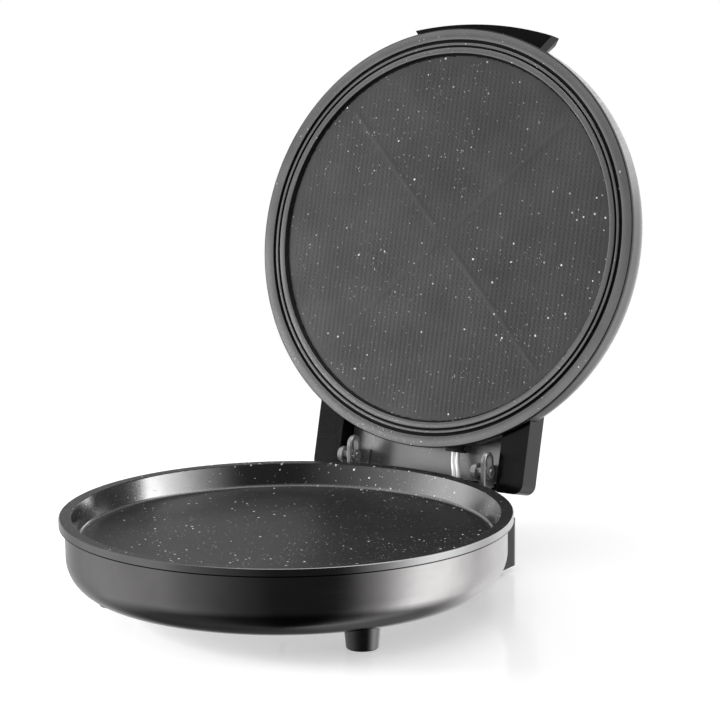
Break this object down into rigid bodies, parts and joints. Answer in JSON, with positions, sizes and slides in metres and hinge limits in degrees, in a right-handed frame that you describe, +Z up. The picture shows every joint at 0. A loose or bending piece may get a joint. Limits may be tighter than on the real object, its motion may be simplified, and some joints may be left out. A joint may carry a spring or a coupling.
{
  "type": "electric pizza maker",
  "caption": "Countertop electric pizza maker: round non-stick pan in a metal base, with a heated lid standing open on a floating hinge.",
  "frame": {"origin": "on the worktop, under the middle of the whole object's box with the lid open", "axes": "+Z up, the handle side at -Y, the hinge at +Y, +X to the right seen from the handle side"},
  "size_m": [0.33, 0.4714, 0.4045],
  "materials": {
    "nonstick": "satin speckled non-stick coating",
    "gunmetal": "gloss",
    "black_gloss": "gloss",
    "black_satin": "satin",
    "grey_panel": "gloss",
    "zinc_sheet": "satin",
    "bright_sheet": "bright",
    "heater_sheath": "oxidised",
    "insulation_wool": "matt",
    "ceramic": "matt",
    "hinge_steel": "satin",
    "screw_steel": "bright",
    "foot_black": "satin",
    "pad_rubber": "matt",
    "lead_sleeve": "glass-fibre sleeve",
    "red_lens": "translucent",
    "green_lens": "translucent"
  },
  "bodies": {
    "base": {"base_bottom_cover": "zinc_sheet", "base_housing": "gunmetal", "bottom_cover_screws": "screw_steel", "deck_lead_grommet": "pad_rubber", "foot_front_left": "foot_black", "foot_front_right": "foot_black", "foot_nuts": "screw_steel", "foot_rear_left": "pad_rubber", "foot_rear_right": "pad_rubber", "foot_screws": "screw_steel", "hinge_post_left": "hinge_steel", "hinge_post_right": "hinge_steel", "hinge_post_screws": "screw_steel", "lid_lead_left": "lead_sleeve", "lid_lead_right": "lead_sleeve", "lower_heating_element": "heater_sheath", "lower_insulation": "insulation_wool", "lower_reflector": "bright_sheet", "lower_stack_screws": "screw_steel", "lower_terminal_block": "ceramic", "lower_thermal_fuse": "ceramic", "lower_thermostat": "bright_sheet", "mains_gland": "black_satin", "pan": "nonstick", "rear_block_cover": "black_satin", "rear_block_cover_screws": "screw_steel", "rear_block_screws": "screw_steel", "rear_hinge_block": "black_gloss", "rear_junction_block": "ceramic", "wiring_bush": "black_satin"},
    "hinge_pins": {"hinge_pins": "hinge_steel", "pin_clips": "hinge_steel"},
    "lid": {"handle_screws": "screw_steel", "heat_lamp_lens": "green_lens", "hinge_back_panel": "grey_panel", "hinge_housing_screws": "screw_steel", "lid_handle": "black_gloss", "lid_hinge_housing": "black_gloss", "lid_knuckle_left": "hinge_steel", "lid_knuckle_right": "hinge_steel", "lid_lead_grommet": "pad_rubber", "lid_plate": "nonstick", "lid_shell": "gunmetal", "power_lamp_lens": "red_lens", "upper_heating_element": "heater_sheath", "upper_insulation": "insulation_wool", "upper_reflector": "bright_sheet", "upper_stack_screws": "screw_steel", "upper_terminal_block": "ceramic", "upper_thermal_fuse": "ceramic", "upper_thermostat": "bright_sheet"}
  },
  "joints": [
    {"name": "hinge_float", "type": "slide", "parent": "base", "child": "hinge_pins", "axis": [0, 0, 1], "range_m": [0, 0.01]},
    {"name": "lid_hinge", "type": "hinge", "parent": "hinge_pins", "child": "lid", "pos_m": [0, 0.10728, 0.0707], "axis": [1, 0, 0], "range_deg": [0, 104.4], "deforming": ["lid_lead_left", "lid_lead_right"]}
  ]
}
